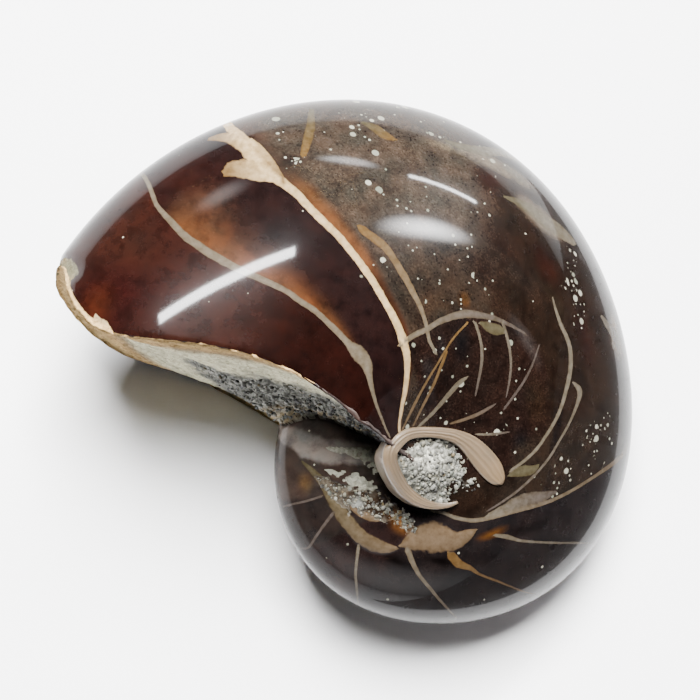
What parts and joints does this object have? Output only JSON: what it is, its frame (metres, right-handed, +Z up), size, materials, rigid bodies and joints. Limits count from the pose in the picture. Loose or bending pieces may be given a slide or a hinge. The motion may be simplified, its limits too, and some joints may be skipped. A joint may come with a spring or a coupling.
{
  "type": "polished fossil nautilus shell",
  "caption": "Coiled fossil nautilus, ground and polished, with a broken mouth packed with sandstone, lying on its side.",
  "frame": {"origin": "middle of the bounding box on the surface that it rests on", "axes": "+Z up, +X from the mouth towards the back of the coil, the broken mouth faces -Y and the belly line at the mouth points to -X"},
  "size_m": [0.0904, 0.077, 0.0455],
  "materials": {
    "polished_calcite": "ground and polished to a wet gloss, dark red-brown chambers with cream partition lines, grey sandstone in the mouth and navel"
  },
  "bodies": {
    "root": {"nautilus_shell": "polished_calcite"}
  },
  "joints": []
}
